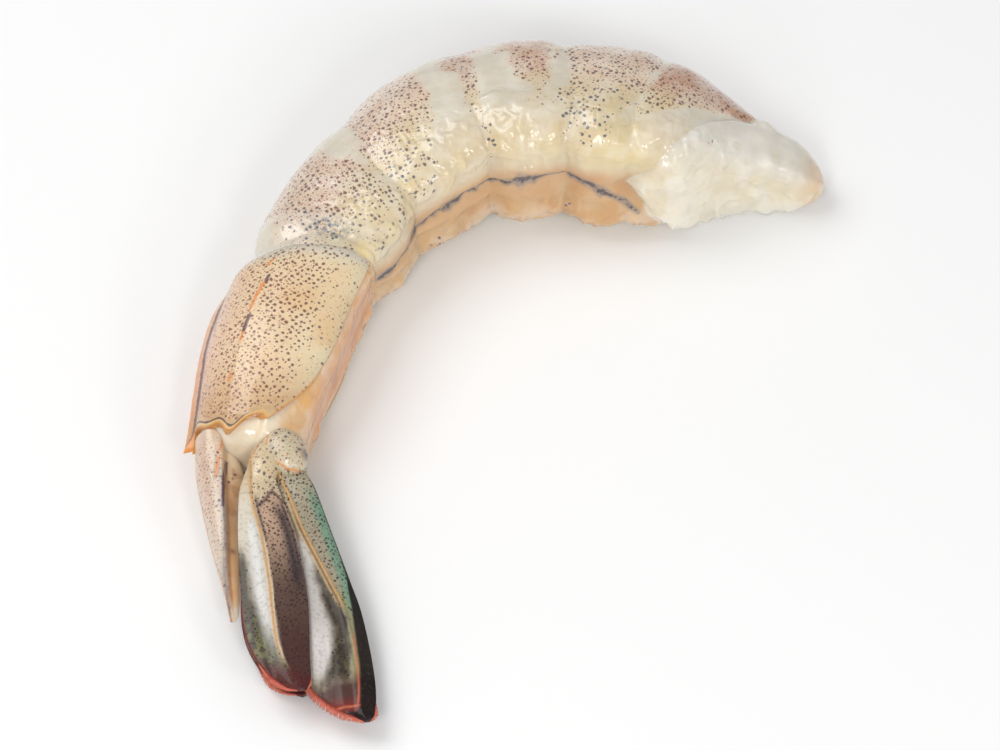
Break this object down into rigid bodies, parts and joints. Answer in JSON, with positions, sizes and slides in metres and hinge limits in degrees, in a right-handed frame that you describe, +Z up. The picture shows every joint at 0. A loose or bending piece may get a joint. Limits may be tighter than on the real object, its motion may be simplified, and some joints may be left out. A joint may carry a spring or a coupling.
{
  "type": "raw peeled shrimp",
  "caption": "Raw headless shrimp, peeled with its tail left on, lying curled on its side in a flat arch.",
  "frame": {"origin": "middle of the footprint, on the surface the shrimp lies on", "axes": "+Z up from the surface, +Y from the tail fan towards the top of the arch, +X from the back at the tail towards the cut front end"},
  "size_m": [0.0628, 0.0832, 0.0153],
  "materials": {
    "meat": "wet, translucent raw shrimp meat with dark pigment spots",
    "shell": "wet, thin, glossy amber shell with dark pigment spots",
    "fan": "wet glossy tail blades, white, olive and dark brown with a red fringe"
  },
  "bodies": {
    "root": {"meat": "meat", "tail_shell": "shell", "telson": "shell", "protopod_upper": "shell", "protopod_lower": "shell", "endopod_upper": "fan", "endopod_lower": "fan", "exopod_upper": "fan", "exopod_lower": "fan"}
  },
  "joints": []
}
